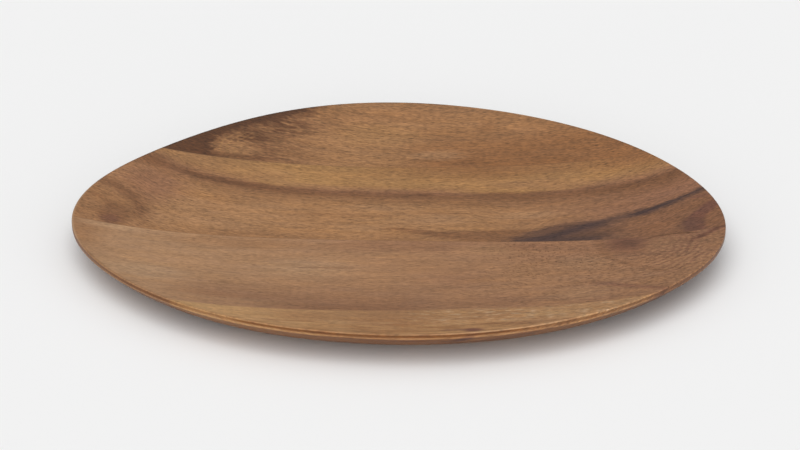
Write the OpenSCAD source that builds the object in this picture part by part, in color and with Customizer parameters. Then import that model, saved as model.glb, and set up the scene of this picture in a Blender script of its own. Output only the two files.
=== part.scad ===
// Oval wooden plate: a shallow dish with a softly waved, hand-shaped outline, carved from one
// board. X runs along the grain from tip to tip, Y across the grain, Z up from the table.
// The origin is on the table, under the middle of the plate.

/* [Outline] */
// Length of the plate along the grain, from tip to tip
plate_l = 300; // [220:5:380]
// Width of the plate across the grain
plate_w = 230; // [180:1:300]
// How far the outline waves out and in, with two high places round the oval
two_swell = 1.6; // [0:0.1:4]
// Direction of the first of the two high places
two_at = -69; // [-90:1:90]
// How far the outline waves out and in, with three high places
three_swell = 2.4; // [0:0.05:5]
// Direction of the first of the three high places
three_at = -33; // [-60:1:60]
// How far the outline waves out and in, with four high places
four_swell = 1.55; // [0:0.05:4]
// Direction of the first of the four high places
four_at = 0; // [-45:1:45]
// How far the outline waves out and in, with five high places
five_swell = 0.55; // [0:0.05:2]
// Direction of the first of the five high places
five_at = 35; // [0:1:72]
// How far the outline waves out and in, with six high places
six_swell = 0.5; // [0:0.05:1.5]
// Direction of the first of the six high places
six_at = -9; // [-30:1:30]

/* [Dish] */
// Depth of the hollow, from the level of the rim to its middle
dish_d = 10.5; // [5:0.5:18]
// Thickness of the floor in the middle of the dish
floor_t = 6; // [4:0.5:12]
// How late the side of the hollow turns up, as the power of its curve
dish_power = 3.5; // [2:0.1:6]

/* [Edge] */
// Height of the upright face round the edge
edge_h = 1.7; // [1:0.1:4]
// Rounding of the rim, between the hollow and the upright face
crest_r = 0.6; // [0.3:0.1:1.5]
// Rounding of the lower arris, between the upright face and the belly
under_r = 0.5; // [0.2:0.1:1]

/* [Foot] */
// How far the flat foot lies in from the edge
foot_in = 24; // [18:1:45]
// Thickness planed off under the belly to leave the flat foot
foot_cut = 1; // [0.5:0.1:2]
// How soon the belly flattens towards the foot, as the power of its curve
belly_power = 2.6; // [1.8:0.1:4]

/* [Hidden] */

wood = [0.58, 0.43, 0.32];

// Divisions round the outline, across the dish, over the rim, round the lower arris and down the belly
outline_steps = 120;
dish_steps = 10;
crest_steps = 3;
under_steps = 2;
belly_steps = 8;

plate_h = floor_t + dish_d;
face_top = plate_h - crest_r;
face_low = face_top - edge_h;

// Slope of the belly where it leaves the lower arris, and the turn that the arris makes to meet it
belly_share = 1 - pow(foot_cut / (face_low + foot_cut), 1 / belly_power);
belly_slope = atan(belly_power * (face_low + foot_cut) * belly_share / foot_in);
under_turn = 90 - belly_slope;

// The belly starts below the arris and runs on past the foot, to the depth that is planed off
belly_s = under_r * (1 - cos(under_turn));
belly_top = face_low - under_r * sin(under_turn);
belly_run = (foot_in - belly_s) / belly_share;

// One wave round the outline, at direction a, with its high places at equal turns from at
function wave(a, count, swell, at) = swell * cos(count * (a - at));

// A point of the outline at direction a, before it is brought to its length and width
function waved_point(a) =
    let (
        oval = [plate_l / 2 * cos(a), plate_w / 2 * sin(a)],
        out = wave(a, 2, two_swell, two_at) + wave(a, 3, three_swell, three_at)
            + wave(a, 4, four_swell, four_at) + wave(a, 5, five_swell, five_at)
            + wave(a, 6, six_swell, six_at)
    )
    oval * (1 + out / norm(oval));

waved = [for (i = [0 : outline_steps - 1]) waved_point(360 * i / outline_steps)];
low_corner = [min([for (p = waved) p.x]), min([for (p = waved) p.y])];
high_corner = [max([for (p = waved) p.x]), max([for (p = waved) p.y])];
middle = (low_corner + high_corner) / 2;
stretch = [plate_l / (high_corner.x - low_corner.x), plate_w / (high_corner.y - low_corner.y)];

// The outline, centred and brought to its exact length and width
outline = [for (p = waved) [(p.x - middle.x) * stretch.x, (p.y - middle.y) * stretch.y]];

// The cut through the plate from the middle of the dish, over the rim and under to the foot, where
// the outline is reach from the middle. Each place is [distance in from the edge, height].
function section(reach) =
    let (
        rise = atan(dish_d * dish_power / reach),
        lip_in = crest_r * (1 + sin(rise)),
        lip_z = face_top + crest_r * cos(rise)
    )
    concat(
        [for (i = [1 : dish_steps])
            let (k = sin(90 * i / dish_steps))
            [reach - k * (reach - lip_in), floor_t + (lip_z - floor_t) * pow(k, dish_power)]],
        [for (i = [0 : crest_steps])
            let (turn = 90 * (1 - i / crest_steps))
            [crest_r * (1 - cos(turn)), face_top + crest_r * sin(turn)]],
        [[0, face_low]],
        [for (i = [1 : under_steps])
            let (turn = under_turn * i / under_steps)
            [under_r * (1 - cos(turn)), face_low - under_r * sin(turn)]],
        [for (i = [1 : belly_steps])
            let (u = i / belly_steps)
            [belly_s + belly_run * u, (belly_top + foot_cut) * pow(1 - u, belly_power) - foot_cut]]
    );

// The carved board before its foot is planed: one section at each point of the outline
module carved_board() {
    columns = [for (p = outline) let (reach = norm(p))
        [for (place = section(reach)) concat(p * (1 - place[0] / reach), place[1])]];
    places = len(columns[0]);
    points = concat(
        [for (column = columns) for (point = column) point],
        [[0, 0, floor_t], [0, 0, -foot_cut]]
    );
    top = len(points) - 2;
    bottom = len(points) - 1;
    faces = [for (i = [0 : outline_steps - 1])
        let (here = i * places, next = (i + 1) % outline_steps * places)
        each concat(
            [[top, next, here]],
            [for (j = [0 : places - 2])
                each [[here + j, next + j, here + j + 1], [next + j, next + j + 1, here + j + 1]]],
            [[bottom, here + places - 1, next + places - 1]]
        )];
    polyhedron(points, faces, convexity = 4);
}

module plate() {
    color(wood)
    difference() {
        carved_board();
        translate([-plate_l, -plate_w, -2 * foot_cut])
            cube([2 * plate_l, 2 * plate_w, 2 * foot_cut]);
    }
}

plate();
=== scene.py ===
"""An oval wooden plate with a softly waved outline, carved from a blank of four acacia staves and
finished with oil. The script makes the plate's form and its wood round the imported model, in metres."""

import math

import bpy
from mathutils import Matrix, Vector


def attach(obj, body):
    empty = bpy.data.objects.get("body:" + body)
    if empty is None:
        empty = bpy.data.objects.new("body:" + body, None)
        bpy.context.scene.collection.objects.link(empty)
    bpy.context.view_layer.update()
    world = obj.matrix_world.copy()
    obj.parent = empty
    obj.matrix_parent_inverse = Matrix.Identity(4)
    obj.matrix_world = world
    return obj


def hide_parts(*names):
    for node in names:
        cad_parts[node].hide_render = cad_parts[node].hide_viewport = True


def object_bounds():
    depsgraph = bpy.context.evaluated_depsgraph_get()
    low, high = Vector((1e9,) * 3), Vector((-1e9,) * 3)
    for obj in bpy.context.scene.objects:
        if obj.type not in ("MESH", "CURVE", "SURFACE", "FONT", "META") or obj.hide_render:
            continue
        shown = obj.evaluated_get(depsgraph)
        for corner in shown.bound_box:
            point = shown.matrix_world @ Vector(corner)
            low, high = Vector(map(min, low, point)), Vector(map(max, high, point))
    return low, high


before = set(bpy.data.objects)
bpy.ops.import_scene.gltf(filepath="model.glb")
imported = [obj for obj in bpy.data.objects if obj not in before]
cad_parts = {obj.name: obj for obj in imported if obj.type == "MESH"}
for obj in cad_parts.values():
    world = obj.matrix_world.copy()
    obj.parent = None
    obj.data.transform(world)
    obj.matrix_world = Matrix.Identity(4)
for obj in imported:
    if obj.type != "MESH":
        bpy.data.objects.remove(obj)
model_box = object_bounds()


# The blank: four acacia staves are planed, glued edge to edge and left as one flat board, with the
# grain from tip to tip. The glue lines run the length of the plate, and each stave keeps its colour.

def plug(socket, value):
    """Gives a node's input its value, or links it to what works the value out."""
    source = getattr(value, "socket", value)
    if isinstance(source, bpy.types.NodeSocket):
        socket.id_data.links.new(source, socket)
    else:
        socket.default_value = value


def put(tree, kind, values=None, **settings):
    """A new node in the tree, with its settings, and its inputs given by name or number."""
    node = tree.nodes.new(kind)
    for name, setting in settings.items():
        setattr(node, name, setting)
    for name, value in (values or {}).items():
        plug(node.inputs[name], value)
    return node


class Number:
    """A number that a node tree works out, used in formulas like any other number."""

    def __init__(self, socket):
        self.socket = socket

    def math(self, operation, *numbers):
        """What a Math node makes of those numbers."""
        inputs = dict(enumerate(numbers))
        return Number(put(self.socket.id_data, "ShaderNodeMath", inputs, operation=operation).outputs[0])

    def worked(self, operation, *others):
        """What a Math node makes of this number and the others."""
        return self.math(operation, self, *others)

    def __add__(self, other):
        return self.worked("ADD", other)

    def __mul__(self, other):
        return self.worked("MULTIPLY", other)

    def __sub__(self, other):
        return self.worked("SUBTRACT", other)

    def __truediv__(self, other):
        return self.worked("DIVIDE", other)

    def __pow__(self, other):
        return self.worked("POWER", other)

    def __neg__(self):
        return self * -1

    def __rsub__(self, other):
        return self.math("SUBTRACT", other, self)

    def __rtruediv__(self, other):
        return self.math("DIVIDE", other, self)

    __radd__ = __add__
    __rmul__ = __mul__

    def cos(self):
        return self.worked("COSINE")

    def sin(self):
        return self.worked("SINE")

    def size(self):
        return self.worked("ABSOLUTE")

    def least(self, other):
        return self.worked("MINIMUM", other)

    def most(self, other):
        return self.worked("MAXIMUM", other)

    def across(self, other):
        """The length of a slant that is this far one way and that far the other."""
        return (self * self + other * other) ** 0.5

    def step(self, start, end, before, after):
        """One value up to start, another from end on, and a soft step between them."""
        limits = {"Value": self, "From Min": start, "From Max": end, "To Min": before, "To Max": after}
        ramp = put(self.socket.id_data, "ShaderNodeMapRange", limits, interpolation_type="SMOOTHSTEP")
        return Number(ramp.outputs["Result"])

    def grows(self, start, end):
        """0 up to start, 1 from end on, and a soft step between them."""
        return self.step(start, end, 0, 1)

    def fades(self, start, end):
        """1 up to start, 0 from end on, and a soft step between them."""
        return self.step(start, end, 1, 0)

    def between(self, start, end, soft):
        """1 from start to end, and 0 outside, with soft steps that are centred on them."""
        return self.grows(start - soft / 2, start + soft / 2) * self.fades(end - soft / 2, end + soft / 2)


# The share of white light that the oil's sheen adds to every tone, and that the wood gives back
SHEEN, GIVEN_BACK = 0.024, 0.93


def tone(red, green, blue):
    """A wood tone from how it looks when oiled: its red, green and blue, each from 0 to 255."""
    seen = [((value / 255 + 0.055) / 1.055) ** 2.4 for value in (red, green, blue)]
    return [*((share - SHEEN) / GIVEN_BACK for share in seen), 1]


# Tones of the wood, from the palest to the near black of the heart
CREAM = tone(184, 152, 120)
FAWN = tone(170, 133, 101)
STRAW = tone(182, 144, 103)
HONEY = tone(166, 126, 85)
CARAMEL = tone(166, 127, 91)
TAN = tone(161, 120, 85)
FALLOW = tone(161, 122, 91)
BISCUIT = tone(157, 117, 87)
HAZEL = tone(150, 111, 80)
MOCHA = tone(144, 107, 82)
CHESTNUT = tone(142, 101, 70)
RUSSET = tone(140, 102, 80)
COCOA = tone(125, 90, 67)
PLUM = tone(115, 81, 69)
SMOKE = tone(100, 76, 65)
UMBER = tone(98, 70, 54)
CHARCOAL = tone(86, 69, 64)
SOOT = tone(73, 60, 59)

wood = bpy.data.materials.new("oiled_acacia")
wood.use_nodes = True
figure = wood.node_tree
figure.nodes.clear()

# Places on the wood in millimetres. How deep a place lies under the hollow and how far in from the
# outline are kept on the mesh. The growth layers lean as they go down, so that they come out
# elsewhere on the side and underneath.
MM = 1000
LEAN_X, LEAN_Y = 1.2, 0.7
on_object = put(figure, "ShaderNodeTexCoord").outputs["Object"]
spot = put(figure, "ShaderNodeSeparateXYZ", {"Vector": on_object})
deep = put(figure, "ShaderNodeAttribute", attribute_type="GEOMETRY", attribute_name="depth")
deep = Number(deep.outputs["Fac"]) * MM
inset = put(figure, "ShaderNodeAttribute", attribute_type="GEOMETRY", attribute_name="inset")
inset = Number(inset.outputs["Fac"]) * MM
side = Number(spot.outputs["Y"]) * MM
z = Number(spot.outputs["Z"]) * MM
x = Number(spot.outputs["X"]) * MM + deep * LEAN_X
y = side + deep * LEAN_Y


def drawn(along, *points):
    """A line drawn through points, as how far off it lies at each place along."""
    places = [point[0] for point in points]
    heights = [point[1] for point in points]
    low, high = min(heights), max(heights)
    span = places[-1] - places[0]
    share = put(figure, "ShaderNodeMapRange",
                {"Value": along, "From Min": places[0], "From Max": places[-1]}).outputs["Result"]
    curve = put(figure, "ShaderNodeFloatCurve", {"Value": share})
    bends = curve.mapping.curves[0].points
    for place, height in points[1:-1]:
        bends.new((place - places[0]) / span, (height - low) / (high - low))
    bends[0].location = (0, (heights[0] - low) / (high - low))
    bends[len(bends) - 1].location = (1, (heights[-1] - low) / (high - low))
    for bend in bends:
        bend.handle_type = "AUTO_CLAMPED"
    curve.mapping.update()
    return Number(curve.outputs["Value"]) * (high - low) + low


def stained(colour, over, share):
    """A colour with another laid over it, 0 where there is none and 1 where it covers."""
    mix = put(figure, "ShaderNodeMix", {0: share, 6: colour, 7: over}, data_type="RGBA")
    return mix.outputs[2]


def multiplied(colour, by, share=1):
    """A colour multiplied by another, as far as the share says."""
    mix = put(figure, "ShaderNodeMix", {0: share, 6: colour, 7: by}, data_type="RGBA", blend_type="MULTIPLY")
    return mix.outputs[2]


on_top = put(figure, "ShaderNodeCombineXYZ", {"X": x, "Y": y}).outputs[0]


def off(middle, half_length, half_width):
    """How far a place is from the middle of a spot: 0 there and 1 on the spot's edge."""
    halves = (half_length, half_width, 1)
    place = put(figure, "ShaderNodeVectorMath", {0: on_top, 1: halves}, operation="DIVIDE").outputs[0]
    centre = (middle[0] / half_length, middle[1] / half_width, 0)
    gap = put(figure, "ShaderNodeVectorMath", {0: place, 1: centre}, operation="DISTANCE")
    return Number(gap.outputs["Value"])


# The glue lines, as how far each lies from the middle at each place along the grain
GLUE_SLOPES = (-0.024, -0.032, 0.031)
GLUE_OFFS = (60.2, -12.6, -82.2)
glued = [side - (x * slope + place) for slope, place in zip(GLUE_SLOPES, GLUE_OFFS)]
GLUE_SOFT = 0.3
is_back = glued[0].grows(-GLUE_SOFT, GLUE_SOFT)
is_second = glued[1].grows(-GLUE_SOFT, GLUE_SOFT) * (1 - is_back)
is_front = glued[2].fades(-GLUE_SOFT, GLUE_SOFT)
stave = is_back * 3 + is_second * 2 + is_front

# The way the grain runs in each stave: how far it bends off the straight line of the board. In the
# second stave it follows the dark streaks, in the back one it slants, and it closes in by the knot.
streak_line = drawn(x, (-150, 63), (-126, 57.5), (-118, 53), (-110, 50), (-100, 46.7), (-90, 43.5),
                    (-80, 41.8), (-65, 39), (-50, 36.5), (-30, 34.7), (0, 33), (30, 32), (60, 31),
                    (88, 32), (110, 34), (125, 36.5), (135, 40), (148, 45))
ash_top = drawn(x, (40, -12), (50, -8), (55, -5.5), (58, -3.5), (65, -1), (70, 1.8), (80, 4.6), (88, 5.3),
                (95, 5.7), (102, 6.7), (110, 8.4), (116, 10.6), (125, 14), (133, 16.8), (143, 19.8),
                (152, 23))
STREAK_TO_ASH = 29
near_ash = y.fades(8, 30) * x.grows(30, 80)
back_slant = drawn(x, (-120, 16), (-60, 8), (0, -2), (40, -5.5), (150, -9))
KNOT = (104, -21)
RING_RADIUS = 35
knot_pull = off(KNOT, 40, 26).fades(0.1, 1) * (1 - is_back - is_second)
bend = is_second * (streak_line + near_ash * (ash_top + STREAK_TO_ASH - streak_line))
bend = bend + is_back * back_slant - knot_pull * (y - KNOT[1]) * 0.5
straight = y - bend


# How far one stave's pattern is moved along and down from its neighbour's, and each seed's along
NEXT_ALONG, NEXT_DOWN, NEXT_SEED = 61.3, 37.1, 7.7


def layered(along, across):
    """A place in the wood, as how far it is along the grain, across it and down, with each stave's own."""
    return put(figure, "ShaderNodeCombineXYZ",
               {"X": along + stave * NEXT_ALONG, "Y": across, "Z": z + stave * NEXT_DOWN}).outputs[0]


def scaled(places, length, width, seed):
    """Places with a grain of that length and width in millimetres brought to the size of one."""
    sizes = (1 / length, 1 / width, 1 / width)
    return put(figure, "ShaderNodeVectorMath",
               {0: places, 1: sizes, 2: (seed * NEXT_SEED, 0, 0)}, operation="MULTIPLY_ADD").outputs[0]


along_grain = layered(x, straight)
# Half the spread that brings the noise, which keeps near its middle, to about -1 to 1
NOISE_REACH = 1.8


def fibres(length, width, seed, detail=2.0, rough=0.5):
    """Streaks along the grain, from about -1 to 1, of that length and width in millimetres."""
    noise = put(figure, "ShaderNodeTexNoise",
                {"Vector": scaled(along_grain, length, width, seed), "Scale": 1, "Detail": detail,
                 "Roughness": rough})
    return Number(noise.outputs["Fac"]).worked("MULTIPLY_ADD", 2 * NOISE_REACH, -NOISE_REACH)


def flecks(length, width, seed, places=along_grain):
    """Scattered dashes, 1 in the middle of the darkest, each in a space of that length and width."""
    cells = put(figure, "ShaderNodeTexVoronoi", {"Vector": scaled(places, length, width, seed), "Scale": 1})
    strength = put(figure, "ShaderNodeSeparateColor", {"Color": cells.outputs["Color"]})
    return Number(cells.outputs["Distance"]).fades(0.1, 0.45) * Number(strength.outputs[0])


def strip(bottom, top, bottom_soft, top_soft):
    """1 between two lines across the stave, with edges that fray along the grain."""
    frayed = y + ragged
    from_bottom = (frayed - bottom).grows(-bottom_soft, bottom_soft)
    return from_bottom * (frayed - top).fades(-top_soft, top_soft)


def patch(middle, half_length, half_width, fray=0.25, soft=(0.3, 1.4)):
    """1 in the middle of a soft spot and 0 outside it, with an edge that frays along the grain."""
    return (off(middle, half_length, half_width) + ragged * fray).fades(*soft)


def dabbed(colour, *dabs):
    """A colour with soft dabs laid over it, each given as its tone, its share and then its patch."""
    for tint, share, *place in dabs:
        colour = stained(colour, tint, patch(*place) * share)
    return colour


ragged = fibres(12, 1.6, seed=1, detail=3)
speckle = fibres(2.5, 1.1, seed=2, detail=1)
cloud = fibres(40, 14, seed=3, detail=3)


# The back stave has a dark heart at its left end, with hatched smoke beside it and a pale eye where
# a small branch began. To the right it is plain and slowly turns browner.

def back_stave():
    brown = (x + cloud * 16).grows(-18, 28) * (0.25 + y.fades(66, 100) * 0.75)
    colour = stained(TAN, CHESTNUT, brown)
    heart_edge = drawn(y, (58, -52), (60.5, -66), (62, -84), (65, -90), (72, -91), (77, -89.5), (80, -87),
                       (84, -83), (88, -78), (91, -73), (94, -66), (98, -59), (103, -51), (108, -45),
                       (116, -38))
    past = x - heart_edge
    frayed = past + ragged * 3 + speckle * 2
    hatch = fibres(7, 1.5, seed=4, detail=3)
    smoke_length = drawn(y, (60, 46), (66, 60), (76, 58), (84, 46), (91, 38), (96, 26), (102, 12), (112, 8))
    smoke = (frayed / smoke_length).fades(0.3, 1.15) * (0.75 + hatch * 0.7)
    colour = stained(colour, COCOA, smoke)
    blotches = hatch.grows(-0.6, 0.5)
    colour = stained(colour, UMBER, patch((-58, 92.5), 16, 7) * blotches * 0.95)
    colour = stained(colour, UMBER, patch((-47, 104), 6, 6) * blotches * 0.8)
    colour = stained(colour, UMBER, patch((-74, 83), 16, 6) * (0.3 + blotches * 0.6))
    colour = stained(colour, COCOA, patch((-38, 95), 15, 9) * (0.1 + blotches * 0.35))
    EYE = (-80, 71)
    colour = dabbed(colour, (TAN, 0.8, EYE, 12, 6.5, 0.35, (0.4, 1.3)))
    arcs = (past * 1.9 + ragged * 1.2).sin().grows(0, 1) * past.grows(0, 3) * past.fades(7, 18)
    colour = stained(colour, HONEY, arcs * y.between(66, 84, 8) * 0.4)
    dashes = flecks(5, 1, seed=5) * x.fades(-20, 90)
    colour = stained(colour, UMBER, dashes * (0.36 + x.fades(-60, -10) * 0.5))
    colour = dabbed(colour,
                    (CHESTNUT, 0.35, (-22, 104), 40, 7),
                    (CHESTNUT, 0.5, (44, 93), 5, 5),
                    (COCOA, 0.55, (11, 67.5), 7, 0.9, 0.4),
                    (FAWN, 0.45, (20, 71), 14, 5, 0.4),
                    (HONEY, 0.35, (-10, 89), 22, 9, 0.4),
                    (UMBER, 0.5, (-80, 64), 16, 3),
                    (CHESTNUT, 0.5, (70, 77), 26, 9))
    return stained(colour, UMBER, frayed.fades(-2, 3))


# The second stave is the showiest. Its back edge is gold, a long dark streak runs through it from
# tip to tip, a knot sits at the left tip, and a charcoal streak comes in from the right.

def golden_edge():
    """The gold between the dark streak and the glue line, which turns chestnut to the right."""
    chestnut = (x + cloud * 20).grows(-60, 60) * (1 - x.between(55, 100, 30) * 0.4)
    golden = stained(HONEY, CHESTNUT, chestnut * (0.25 + (y - 42).grows(0, 14) * 0.75))
    golden = stained(golden, HAZEL, x.fades(-110, -38) * 0.7)
    golden = stained(golden, CHESTNUT, (x + cloud * 12).between(52, 84, 16) * (y - 48).grows(0, 8) * 0.35)
    return dabbed(golden, (HAZEL, 0.35, (-62, 49), 12, 5))


def dark_streak(colour, above):
    """The long streak: crisp above, fading out below, with a reddish lens over it and a dark core."""
    tail = 13 + x.grows(0, 60) * 3
    streak = (above + tail).grows(0, tail * 0.9) * above.fades(0.5, 4)
    colour = stained(colour, COCOA, streak * (0.62 + x.grows(-60, -10) * 0.15 + x.grows(95, 120) * 0.2))
    lens = above.fades(1, 10 + x.grows(70, 110) * 3) * above.grows(-2, 1)
    colour = stained(colour, RUSSET, lens * (x.between(-56, 32, 30) * 0.8 + x.grows(50, 100) * 0.8))
    colour = stained(colour, RUSSET, lens * x.fades(-75, -60) * 0.6)
    colour = dabbed(colour,
                    (RUSSET, 0.3, (68, 41), 24, 5),
                    (COCOA, 0.28, (122, 29), 10, 6))
    core = above.between(-3.5, 2.4, 4)
    colour = stained(colour, COCOA, core * (0.75 + cloud * 0.3) * (1 - x.between(12, 52, 16) * 0.5))
    dark_core = above.between(-2.5, 1, 2.5) * (x.fades(-75, -40) * 0.4 + x.grows(85, 110) * 0.3)
    return stained(colour, UMBER, dark_core)


def charcoal_streak(colour):
    """The charcoal streak, with its smoke down to the glue line and its long brown beginning."""
    lead_top = drawn(x, (-12, 1), (0, -0.2), (12, -2.2), (25, -3.8), (50, -2.5))
    lead_low = drawn(x, (-12, -0.5), (0, -3.5), (12, -7), (25, -11.5), (50, -15))
    lead = strip(lead_low, lead_top, 2, 1) * (x + ragged * 4).between(-2, 62, 18)
    colour = stained(colour, COCOA, lead * 0.75)
    colour = dabbed(colour, (CHESTNUT, 0.6, (2, -1), 9, 1.2, 0.5))
    ash_core = drawn(x, (50, -14), (56, -13), (62, -12.3), (68, -10.7), (74, -8), (80, -4.5), (86, -2),
                     (92, 0.2), (98, 3), (104, 5), (110, 6.5), (116, 8.3), (124, 11.3), (132, 15),
                     (140, 18.3), (150, 22.5))
    under_ash = (ash_top - y + ragged * 1.2 + speckle).grows(0, 4 - x.grows(100, 124) * 2.5)
    colour = stained(colour, COCOA, under_ash * x.grows(92, 118) * 0.58)
    smoke_end = x + speckle * 4 + ragged * 3 + hatched * 5
    colour = stained(colour, SMOKE, under_ash * smoke_end.between(54, 100, 22) * 0.9)
    on_glue = strip(-17, -11.6, 1, 1.4) * (x + ragged * 3).between(55, 93, 7)
    colour = stained(colour, CHARCOAL, on_glue * 0.8)
    colour = dabbed(colour, (SMOKE, 0.35, (101, -9), 9, 5, 0.4))
    from_core = y - ash_core + ragged * 1.3 + speckle
    in_core = from_core.most(from_core * -0.7).fades(0, 4.9 - x.grows(98, 138) * 2)
    colour = stained(colour, CHARCOAL, in_core * smoke_end.grows(48, 62) * (1 - x.between(96, 110, 10) * 0.3))
    sooty = x.between(66, 92, 14) + x.between(108, 124, 12)
    return stained(colour, SOOT, in_core * (sooty * 0.4 + hatched * 0.15))


def left_knot(colour):
    """The knot at the left tip: a dark arc round it, a paler inside and a smudge at the glue line."""
    ring = off((-146, 5), 27, 26) + ragged * 0.06 + speckle * 0.02
    colour = dabbed(colour,
                    (COCOA, 0.35, (-124, 15), 10, 10),
                    (COCOA, 0.4, (-123, 5), 8, 7))
    colour = stained(colour, HAZEL, ring.fades(0.7, 1.4) * 0.8)
    ring_line = (ring + hatched * 0.08 - 0.96).size().fades(0, 0.2)
    colour = stained(colour, COCOA, ring_line * y.grows(-3, 8) * 0.75)
    colour = stained(colour, COCOA, (ring - 0.45).size().fades(0, 0.1) * y.grows(0, 15) * 0.5)
    colour = dabbed(colour,
                    (COCOA, 0.7, (-132, 1), 9, 11, 0.2, (0.5, 1.2)),
                    (PLUM, 0.6, (-133, -4), 5, 5))
    around = (ring - 1.12).size().fades(0.02, 0.2) * flecks(3, 1.6, seed=11)
    return stained(colour, COCOA, around)


def right_tip(colour):
    """The right tip, where the layers turn up and come out as a dark band."""
    tip_line = drawn(y, (-20, 135), (-15, 136), (-9, 135.5), (-4, 138), (1, 142.5), (7, 147.5), (12, 152))
    tip_band = (x - tip_line + ragged).size()
    colour = stained(colour, PLUM, tip_band.fades(3, 6.5) * y.fades(5, 12) * 0.9)
    return dabbed(colour,
                  (SMOKE, 0.5, (134, -11), 6, 8),
                  (PLUM, 0.6, (141, 13.5), 6, 1.2))


hatched = fibres(5, 1.5, seed=19)


def second_stave():
    colour = stained(TAN, RUSSET, (x + cloud * 12).grows(28, 135))
    colour = stained(colour, BISCUIT, x.fades(-130, -105) * 0.6)
    colour = dabbed(colour,
                    (FAWN, 0.3, (-84, 6), 36, 12),
                    (HAZEL, 0.7, (-65, -9), 36, 6),
                    (HAZEL, 0.35, (36, 21), 34, 5, 0.5),
                    (HAZEL, 0.4, (-66, 31), 26, 7),
                    (FAWN, 0.3, (16, 8), 30, 6, 0.4),
                    (FAWN, 0.4, (60, 11), 16, 4, 0.4),
                    (FAWN, 0.25, (-62, 20), 16, 4),
                    (FAWN, 0.22, (-6, 20), 22, 4, 0.4),
                    (FAWN, 0.25, (-20, 0), 14, 4, 0.4),
                    (HAZEL, 0.8, (25, -10), 45, 6, 0.4))
    above = y - streak_line + ragged * 1.3
    colour = stained(colour, golden_edge(), above.grows(0, 3))
    colour = dark_streak(colour, above)
    colour = dabbed(colour,
                    (RUSSET, 0.75, (-117, 33), 18, 17, 0.15),
                    (FAWN, 0.28, (-99, 19), 10, 6),
                    (COCOA, 0.8, (-119, 53), 10, 6),
                    (UMBER, 0.6, (13, 32.5), 4, 1.5))
    for middle in ((-34, 13.5), (-12, 11.5), (21, 14), (8, 26), (34, 22.5)):
        colour = dabbed(colour, (COCOA, 0.35, middle, 16, 0.9, 0.5))
    return right_tip(left_knot(charcoal_streak(colour)))


# The third stave is the widest and palest, with a painted sheen at its left. A small plum-coloured knot
# sits at the right, the pores swirl round it, and a grey-brown band lies along its front edge.

def knot_rings(colour):
    """The pores round the knot. They are cut across there, and show as dots and ripples in rings."""
    from_knot = (x - KNOT[0]).across(y - KNOT[1])
    round_knot = (x - KNOT[0]).worked("ARCTAN2", KNOT[1] - y) * RING_RADIUS
    rings = layered(round_knot, from_knot)
    dots = flecks(2.1, 1.2, seed=12, places=rings) * x.grows(20, 70) * y.grows(-88, -72)
    colour = stained(colour, UMBER, dots * 0.7)
    ripples = (from_knot * 2 + speckle + cloud * 4).sin() * from_knot.between(13, 42, 10) * x.grows(98, 118)
    colour = stained(colour, PLUM, ripples.grows(-0.2, 1) * 0.32)
    colour = stained(colour, FAWN, ripples.fades(-1, 0) * 0.14)
    colour = dabbed(colour,
                    (FAWN, 0.25, (120, -26), 9, 7),
                    (SMOKE, 0.35, (140, -19), 6, 3, 0.3))
    arcs = flecks(14, 2.2, seed=18, places=rings) * x.grows(112, 132)
    return stained(colour, PLUM, arcs * 0.5)


def knot_lines(colour):
    """The dark lines near the knot: its shoulder, a band in front of it, and two to the right tip."""
    shoulder = drawn(y, (-60, 124), (-50, 113), (-40, 101), (-33, 95), (-25, 92.5), (-14, 92))
    shoulder = (x - shoulder + ragged).size()
    colour = stained(colour, COCOA, shoulder.fades(0.5, 3.5) * y.between(-56, -10, 8) * 0.35)
    colour = dabbed(colour, (COCOA, 0.2, (112, -22), 24, 14, 0.1, (0.5, 1.3)))
    front_band = (y - drawn(x, (74, -54), (88, -60), (95, -63), (106, -69), (120, -78)) + ragged).size()
    colour = stained(colour, PLUM, front_band.fades(0.5, 4) * x.grows(78, 96) * 0.5)
    line = (y - drawn(x, (108, -20), (113, -18.5), (125, -16.8), (130, -17.5), (136, -19), (142, -21))).size()
    colour = stained(colour, UMBER, line.fades(0.2, 1.2) * x.between(113, 136, 6) * 0.7)
    tip = (y - drawn(x, (128, -29), (136, -24), (140, -22), (144, -19.5), (151, -16)) + ragged).size()
    colour = stained(colour, PLUM, tip.fades(0.6, 3) * x.grows(128, 138) * 0.85)
    return stained(colour, UMBER, tip.fades(0, 1.6) * x.grows(132, 142) * 0.5)


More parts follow.
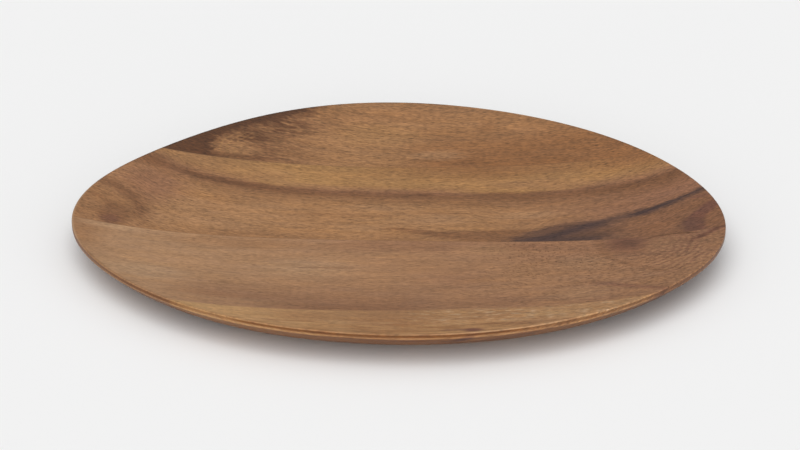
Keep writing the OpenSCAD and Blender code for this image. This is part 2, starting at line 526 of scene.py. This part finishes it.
def third_stave():
    colour = stained(FAWN, FALLOW, (x + cloud * 20).grows(-125, 10))
    colour = stained(colour, RUSSET, (x + cloud * 14).grows(-10, 130) * (0.3 + y.grows(-55, -22) * 0.42))
    colour = dabbed(colour,
                    (RUSSET, 0.45, (8, -17), 50, 7),
                    (HAZEL, 0.5, (-72, -16), 34, 6))
    dark_front = (y + ragged * 2 + cloud * 3).fades(-82, -46) * (1 - x.grows(-10, 50) * 0.65)
    pale_front = strip(-90, -74, 1, 3) * x.fades(-70, -30)
    colour = stained(colour, MOCHA, dark_front * x.grows(-112, -78) * (1 - pale_front * 0.7))
    # The two cream dabs below, at the left of the stave, are a painted sheen.
    colour = dabbed(colour,
                    (MOCHA, 0.55, (46, -74), 20, 8, 0.4),
                    (CREAM, 0.4, (-114, -53), 20, 9),
                    (CREAM, 0.32, (-42, -40), 26, 11, 0.25, (0, 1.4)),
                    (RUSSET, 0.35, (26, -50), 20, 12, 0.25, (0, 1.4)),
                    (FAWN, 0.3, (84, -38), 14, 8),
                    (CARAMEL, 0.35, (40, -21), 14, 5, 0.4),
                    (RUSSET, 0.5, (60, -19), 12, 4, 0.4))
    colour = stained(colour, COCOA, strip(-84, -77, 1, 3) * x.between(-50, 12, 50) * 0.35)
    colour = stained(colour, HAZEL, x.fades(-145, -128) * y.grows(-48, -25) * 0.7)
    colour = stained(colour, CREAM, strip(-13, -8, 1, 1) * x.between(-146, -120, 14) * 0.28)
    colour = dabbed(colour, (COCOA, 0.4, (-32, -39), 15, 0.9, 0.4))
    colour = knot_rings(colour)
    colour = dabbed(colour,
                    (BISCUIT, 0.6, (143, -29), 8, 9),
                    (FAWN, 0.35, (80, -70), 15, 7, 0.4),
                    (PLUM, 0.85, KNOT, 9, 9, 0.15, (0.2, 1.6)),
                    (SMOKE, 0.55, (106, -22), 6, 6, 0.2, (0, 1.5)))
    return knot_lines(colour)


# The front stave is golden, with pale wavy strokes to the right of its middle and brown streaks
# near the rim, where the edge cuts through its layers.

def front_stave():
    colour = stained(STRAW, CARAMEL, (x + cloud * 12).grows(-95, -20))
    colour = dabbed(colour, (HAZEL, 0.7, (-2, -92), 22, 14))
    colour = stained(colour, FAWN, (x + cloud * 10).grows(45, 70) * 0.3)
    colour = dabbed(colour,
                    (HAZEL, 0.45, (-40, -91), 16, 6),
                    (HAZEL, 0.5, (40, -91), 13, 6),
                    (STRAW, 0.5, (64, -91), 11, 4))
    curls = fibres(4.5, 1.5, seed=6)
    curled = x.between(8, 100, 24) * y.grows(-104, -95)
    colour = stained(colour, CREAM, curls.grows(0, 0.9) * curled * 0.9)
    colour = stained(colour, CHESTNUT, curls.fades(-1, -0.1) * curled * 0.45)
    streaks = fibres(14, 2, seed=13)
    near_rim = y.fades(-100, -90)
    colour = stained(colour, CHESTNUT, streaks.fades(-0.7, 0) * near_rim * 0.65)
    colour = stained(colour, STRAW, streaks.grows(0.1, 0.8) * near_rim * 0.5)
    return dabbed(colour,
                  (COCOA, 0.5, (52, -102.5), 22, 3.5, 0.5),
                  (CHESTNUT, 0.55, (0, -110), 20, 3),
                  (PLUM, 0.6, (24, -108.5), 8, 1.3),
                  (PLUM, 1, (31.5, -109.5), 4.6, 3.4, 0.12))


# The front glue line is crisp only at its left end, where the two staves differ most. To the right
# the third stave's brown has bled a little way over it.
front_soft = 0.4 + x.grows(-70, 10) * 2
bled = x.grows(22, 66) * 2.3
past_glue = glued[2] + bled + ragged * front_soft * 0.5
colour = third_stave()
colour = stained(colour, front_stave(), past_glue.fades(-front_soft, front_soft))
colour = stained(colour, second_stave(), is_second)
colour = stained(colour, back_stave(), is_back)

# Fine grain over all four staves: soft streaks, thin fibres and the short dark dashes of the pores.
# It is calmer to the left in the third stave, and stronger in the back one and to the right.
lively = 1 + is_back * 0.1 + x.grows(60, 120) * 0.14 - (1 - is_back - is_second) * x.fades(10, 70) * 0.3
pores = flecks(3.6, 0.75, seed=7).most(flecks(2.6, 0.6, seed=14) * 0.8) * lively
thin = fibres(12, 0.9, seed=10, detail=3, rough=0.6) * lively
grit = fibres(3, 0.7, seed=15, detail=1) * lively
shade = 1 + fibres(50, 6, seed=8) * 0.1 + fibres(18, 2.6, seed=9) * 0.09 + cloud * 0.07
shade = shade + thin * 0.2 + grit * 0.3
shade = shade * (1 - pores * 0.5)
# Painted light and shade: the front of the hollow is painted a little paler and its back a little darker, for
# how the light falls there.
shade = shade * y.step(-108, -62, 1.1, 1) * y.step(25, 90, 1, 0.94)
# Painted shade: a band along the back rim of the hollow is darkened.
shade = shade * (1 - inset.fades(1, 9) * y.grows(50, 90) * 0.13)
glue = glued[0].size().least(glued[1].size())
shade = shade * (1 - glue.fades(0.1, 0.5) * 0.15)
warmth = fibres(22, 5, seed=16)
shade_colour = put(figure, "ShaderNodeCombineXYZ",
                   {"X": shade * (1 + warmth * 0.02), "Y": shade, "Z": shade * (1 - warmth * 0.06)})
colour = multiplied(colour, shade_colour.outputs[0])

# The edge is cut through the layers and is darkened, partly by the oil it drinks and partly as painted shade.
# It is a deep gold brown just under the rim, paler in its lower half with a paler line just above the lower
# arris, and dark again below, where the belly gets painted shade. The rim itself is painted pale, partly as
# wear and partly as a painted highlight.
OIL_AND_SHADE_TONE = (0.38, 0.24, 0.09, 1)
upper_half = drawn(x, (-150, 0.9), (-105, 1), (-88, 0.75), (-76, 0.75), (-62, 1), (43, 1), (60, 0.8),
                   (107, 0.75), (150, 0.85))
lower_half = drawn(x, (-150, 0.9), (-105, 1), (-88, 0.7), (-62, 0.55), (-20, 0.75), (0, 0.75), (22, 0.9),
                   (43, 0.55), (64, 0.65), (107, 0.7), (150, 0.8))
oil_and_shade = upper_half + deep.grows(1.2, 1.6) * (lower_half - upper_half)
oil_and_shade = oil_and_shade * (1 - (deep - 2.1).size().fades(0.2, 0.5) * 0.5)
# Painted shade: the belly below the lower arris is darkened, as if turned away from the light.
oil_and_shade = oil_and_shade + deep.grows(2.3, 2.9) * (0.9 - oil_and_shade)
rim = inset.fades(0.5, 1.4) * deep.fades(0.1, 0.5)
oil_and_shade = oil_and_shade * deep.grows(0.15, 0.6) * inset.fades(12, 24) + rim * 0.4 * (x + cloud * 10).fades(0, 40)
colour = multiplied(colour, OIL_AND_SHADE_TONE, oil_and_shade)
# Painted highlight and wear: the rim is lightened toward cream, strongest right of the middle and at the left
# tip.
wear_and_highlight = (x + cloud * 10).between(26, 78, 28) * (0.26 + ragged * 0.2) + x.fades(-147, -138) * 0.5
colour = stained(colour, CREAM, rim * wear_and_highlight)

# The oil fills the wood to a soft sheen, over pores that stay open and a little rougher
PORE_DEPTH, PORE_STRENGTH = 0.00005, 0.35
OILED_ROUGHNESS, OILED_IOR = 0.46, 1.4
relief = put(figure, "ShaderNodeBump",
             {"Height": thin * 0.25 - pores, "Strength": PORE_STRENGTH, "Distance": PORE_DEPTH})
roughness = OILED_ROUGHNESS + pores * 0.12 + cloud * 0.03
oiled = put(figure, "ShaderNodeBsdfPrincipled",
            {"Base Color": colour, "Roughness": roughness, "IOR": OILED_IOR, "Normal": relief.outputs[0]})
put(figure, "ShaderNodeOutputMaterial", {"Surface": oiled.outputs["BSDF"]})


# The plate: the blank is sawn to a waved oval, hollowed on top, rounded over at the rim and undercut
# to a flat foot, all by machine and in one piece. The sizes are the model's own.

shape = bpy.data.node_groups.new("carved_plate", "GeometryNodeTree")
shape.is_modifier = True
shape.interface.new_socket("Geometry", in_out="OUTPUT", socket_type="NodeSocketGeometry")
SIZES = {
    "Length": model_box[1].x - model_box[0].x,
    "Width": model_box[1].y - model_box[0].y,
    "Height": model_box[1].z - model_box[0].z,
    "Floor thickness": 0.006,
    "Edge height": 0.0017,
    "Crest rounding": 0.0006,
    "Arris rounding": 0.0005,
    "Foot inset": 0.024,
    "Foot cut": 0.001,
}
POWERS = {"Hollow power": 3.5, "Belly power": 2.6}
# Each wave of the outline: how many high places it has, how far it swells, and where its first is
WAVES = {2: (0.0016, -69), 3: (0.0024, -33), 4: (0.00155, 0), 5: (0.00055, 35), 6: (0.0005, -9)}
inputs = {}


def take_input(name, value, subtype):
    """Adds a named size to the tree, and keeps the value that the modifier is to get."""
    socket = shape.interface.new_socket(name, in_out="INPUT", socket_type="NodeSocketFloat")
    socket.subtype = subtype
    inputs[socket.identifier] = value


for name, size in SIZES.items():
    take_input(name, size, "DISTANCE")
for name, power in POWERS.items():
    take_input(name, power, "NONE")
for count, (swell, at) in WAVES.items():
    take_input(f"Swell of {count}", swell, "DISTANCE")
    take_input(f"Turn of {count}", math.radians(at), "ANGLE")
given = put(shape, "NodeGroupInput").outputs


def size_of(name):
    return Number(given[name])


# How many faces go round the plate, and how many go up each band of the surface
STEPS_ROUND = 480
FOOT_STEPS, BELLY_STEPS, ARRIS_STEPS, EDGE_STEPS = 8, 24, 5, 3
CREST_STEPS, LIP_STEPS, HOLLOW_STEPS = 8, 2, 44
length, width = size_of("Length"), size_of("Width")
floor_t, crest = size_of("Floor thickness"), size_of("Crest rounding")
arris, cut = size_of("Arris rounding"), size_of("Foot cut")
dish_power, belly_power = size_of("Hollow power"), size_of("Belly power")
face_top = size_of("Height") - crest
face_low = face_top - size_of("Edge height")

# Each band of the surface is a sheet that is one unit long and wide: round is how far a point goes
# round the plate, and along how far it goes up the cut, from the underside over the rim and in
place = put(shape, "ShaderNodeSeparateXYZ", {"Vector": put(shape, "GeometryNodeInputPosition").outputs[0]})
turn = (Number(place.outputs["X"]) + 0.5) * math.tau
along = Number(place.outputs["Y"]) + 0.5

# The outline before it is brought to its length and width
oval_x, oval_y = turn.cos() * length / 2, turn.sin() * width / 2
swells = [((turn - size_of(f"Turn of {count}")) * count).cos() * size_of(f"Swell of {count}")
          for count in WAVES]
grown = sum(swells[1:], swells[0]) / oval_x.across(oval_y) + 1


def sheet(steps):
    """A flat sheet of faces, one unit long and wide, round its middle."""
    grid = put(shape, "GeometryNodeMeshGrid",
               {"Size X": 1, "Size Y": 1, "Vertices X": STEPS_ROUND + 1, "Vertices Y": steps + 1})
    return grid.outputs["Mesh"]


def placed(mesh, px, py, pz):
    """The mesh with its points brought to those places."""
    point = put(shape, "ShaderNodeCombineXYZ", {"X": px, "Y": py, "Z": pz})
    return put(shape, "GeometryNodeSetPosition",
               {"Geometry": mesh, "Position": point.outputs[0]}).outputs["Geometry"]


waved = placed(sheet(1), oval_x * grown, oval_y * grown, 0)
waved_box = put(shape, "GeometryNodeBoundBox", {"Geometry": waved})
low = put(shape, "ShaderNodeSeparateXYZ", {"Vector": waved_box.outputs["Min"]})
high = put(shape, "ShaderNodeSeparateXYZ", {"Vector": waved_box.outputs["Max"]})


def fitted(wave, axis, full):
    """A place on the waved outline, centred and brought to the plate's full size on that axis."""
    start, end = Number(low.outputs[axis]), Number(high.outputs[axis])
    return (wave - (start + end) / 2) * full / (end - start)


rim_x = fitted(oval_x * grown, "X", length)
rim_y = fitted(oval_y * grown, "Y", width)
reach = rim_x.across(rim_y)
dish_d = size_of("Height") - floor_t
rise = (dish_d * dish_power / reach).worked("ARCTANGENT")
lip_in = crest * (rise.sin() + 1)
lip_z = face_top + crest * rise.cos()


# The belly is a curve that runs on past the foot, to the depth that is planed off
belly_share = 1 - (cut / (face_low + cut)) ** (1 / belly_power)
belly_slope = (belly_power * (face_low + cut) * belly_share / size_of("Foot inset")).worked("ARCTANGENT")
QUARTER = math.pi / 2
under_turn = QUARTER - belly_slope
belly_in = arris * (1 - under_turn.cos())
belly_top = face_low - arris * under_turn.sin()
belly_run = (size_of("Foot inset") - belly_in) / belly_share
foot_share = 1 - (cut / (belly_top + cut)) ** (1 / belly_power)
foot_edge = belly_in + belly_run * foot_share


def band(steps, inward, height):
    """One band of the surface, as how far in from the outline and how high its points lie."""
    share = 1 - inward / reach
    depth = floor_t + dish_d * share.most(0) ** dish_power - height
    mesh = sheet(steps)
    for name, value in (("depth", depth), ("inset", inward)):
        mesh = put(shape, "GeometryNodeStoreNamedAttribute", {"Geometry": mesh, "Name": name, "Value": value},
                   data_type="FLOAT", domain="POINT").outputs["Geometry"]
    return placed(mesh, rim_x * share, rim_y * share, height)


belly_at = foot_share * (1 - along)
arris_turn = under_turn * (1 - along)
crest_turn = QUARTER * along
lip_turn = QUARTER + rise * along
hollow_at = (QUARTER * (1 - along)).sin()
bands = [
    band(FOOT_STEPS, reach - (reach - foot_edge) * along, along * 0),
    band(BELLY_STEPS, belly_in + belly_run * belly_at,
         (belly_top + cut) * (1 - belly_at) ** belly_power - cut),
    band(ARRIS_STEPS, arris * (1 - arris_turn.cos()), face_low - arris * arris_turn.sin()),
    band(EDGE_STEPS, along * 0, face_low + (face_top - face_low) * along),
    band(CREST_STEPS, crest * (1 - crest_turn.cos()), face_top + crest * crest_turn.sin()),
    band(LIP_STEPS, crest * (1 - lip_turn.cos()), face_top + crest * lip_turn.sin()),
    band(HOLLOW_STEPS, reach - hollow_at * (reach - lip_in),
         floor_t + (lip_z - floor_t) * hollow_at ** dish_power),
]
joined = put(shape, "GeometryNodeJoinGeometry")
for mesh in bands:
    shape.links.new(mesh, joined.inputs[0])
TOUCHING = 1e-6
closed = put(shape, "GeometryNodeMergeByDistance", {"Geometry": joined.outputs[0], "Distance": TOUCHING})

# The foot is planed, so the line where the belly meets it stays crisp
FOLD = math.radians(3)
height = put(shape, "ShaderNodeSeparateXYZ", {"Vector": put(shape, "GeometryNodeInputPosition").outputs[0]})
fold = put(shape, "GeometryNodeInputMeshEdgeAngle").outputs["Unsigned Angle"]
on_foot = Number(height.outputs["Z"]).worked("LESS_THAN", TOUCHING)
foot_line = on_foot * Number(fold).worked("GREATER_THAN", FOLD)
smooth = put(shape, "GeometryNodeSetShadeSmooth", {0: closed.outputs[0], "Shade Smooth": True}, domain="FACE")
crisp = put(shape, "GeometryNodeSetShadeSmooth",
            {0: smooth.outputs[0], "Selection": foot_line, "Shade Smooth": False}, domain="EDGE")
real = put(shape, "GeometryNodeRealizeInstances", {0: crisp.outputs[0]})
finished = put(shape, "GeometryNodeSetMaterial", {0: real.outputs[0], "Material": wood})
put(shape, "NodeGroupOutput", {0: finished.outputs[0]})

blank = bpy.data.objects.new("blank", bpy.data.meshes.new("blank"))
bpy.context.scene.collection.objects.link(blank)
carving = blank.modifiers.new("carving", "NODES")
carving.node_group = shape
for identifier, value in inputs.items():
    carving[identifier] = value
depsgraph = bpy.context.evaluated_depsgraph_get()
mesh = bpy.data.meshes.new_from_object(blank.evaluated_get(depsgraph), preserve_all_data_layers=True,
                                       depsgraph=depsgraph)
bpy.data.objects.remove(blank)
plate = bpy.data.objects.new("carved_plate", mesh)
bpy.context.scene.collection.objects.link(plate)
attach(plate, "root")
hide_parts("plate")


# The setting: the plate stands on a plain pale floor under soft light that comes mostly from above,
# and the camera looks along the grain's cross direction from the height that the photograph has.

PALE = 0.888
FLOOR_SIZE = 20
floor_mesh = bpy.data.meshes.new("floor")
half = FLOOR_SIZE / 2
floor_mesh.from_pydata([(-half, -half, 0), (half, -half, 0), (half, half, 0), (-half, half, 0)], [],
                       [(0, 1, 2, 3)])
floor = bpy.data.objects.new("floor", floor_mesh)
bpy.context.scene.collection.objects.link(floor)
paint = bpy.data.materials.new("pale_floor")
paint.use_nodes = True
paint.node_tree.nodes.clear()
matt = put(paint.node_tree, "ShaderNodeBsdfDiffuse", {"Color": (PALE, PALE, PALE, 1)})
put(paint.node_tree, "ShaderNodeOutputMaterial", {"Surface": matt.outputs[0]})
floor_mesh.materials.append(paint)

# The light on the level floor adds up to 1. A part is a wide lamp, in front and above, a part a low
# glow in front that reaches in under the edge, and the rest a sky that is dimmer at the horizon.
LAMP_SHARE, LAMP_SPREAD = 0.35, math.radians(60)
LAMP_UP, LAMP_LEFT = math.radians(64), math.radians(15)
GLOW_SHARE, GLOW_ON_FLOOR = 0.12, 0.0471
lamp_data = bpy.data.lights.new("lamp", "SUN")
lamp_data.energy = LAMP_SHARE * math.pi / math.sin(LAMP_UP)
lamp_data.angle = LAMP_SPREAD
lamp = bpy.data.objects.new("lamp", lamp_data)
lamp.rotation_euler = (math.pi / 2 - LAMP_UP, 0, -LAMP_LEFT)
bpy.context.scene.collection.objects.link(lamp)
HORIZON, SKY_POWER = 0.45, 3
OVERHEAD = HORIZON + (1 - HORIZON) * (SKY_POWER + 2) / 2
sky = bpy.data.worlds.new("soft_sky")
bpy.context.scene.world = sky
sky.use_nodes = True
sky.node_tree.nodes.clear()
direction = put(sky.node_tree, "ShaderNodeTexCoord").outputs["Generated"]
direction = put(sky.node_tree, "ShaderNodeSeparateXYZ", {"Vector": direction}).outputs
up = Number(direction["Z"]).most(0)
to_front = (-Number(direction["Y"])).most(0)
light = (up ** SKY_POWER * (OVERHEAD - HORIZON) + HORIZON) * (1 - LAMP_SHARE - GLOW_SHARE)
light = light + to_front * (1 - up) * (1 - up) * (GLOW_SHARE / GLOW_ON_FLOOR)
light = put(sky.node_tree, "ShaderNodeBackground", {"Color": (1, 1, 1, 1), "Strength": light})
put(sky.node_tree, "ShaderNodeOutputWorld", {"Surface": light.outputs[0]})

# The camera, from where the middle of the rim's level lies in the photograph
PICTURE_W, PICTURE_H = 800, 450
FOCAL_PX = 2378
RIM_MIDDLE_PX = (397.9, 207.7)
DISTANCE = 1.1
LOOKING_DOWN = math.radians(27.67)
camera_data = bpy.data.cameras.new("camera")
camera_data.sensor_width = 36
camera_data.lens = camera_data.sensor_width * FOCAL_PX / PICTURE_W
camera = bpy.data.objects.new("camera", camera_data)
bpy.context.scene.collection.objects.link(camera)
rim_middle = Vector((0, 0, SIZES["Height"]))
camera.location = rim_middle + DISTANCE * Vector((0, -math.cos(LOOKING_DOWN), math.sin(LOOKING_DOWN)))
further_down = math.atan((PICTURE_H / 2 - RIM_MIDDLE_PX[1]) / FOCAL_PX)
further_right = math.atan((PICTURE_W / 2 - RIM_MIDDLE_PX[0]) / FOCAL_PX) / math.cos(LOOKING_DOWN)
camera.rotation_euler = (math.pi / 2 - LOOKING_DOWN - further_down, 0, -further_right)
bpy.context.scene.camera = camera
bpy.context.scene.view_settings.view_transform = "Standard"
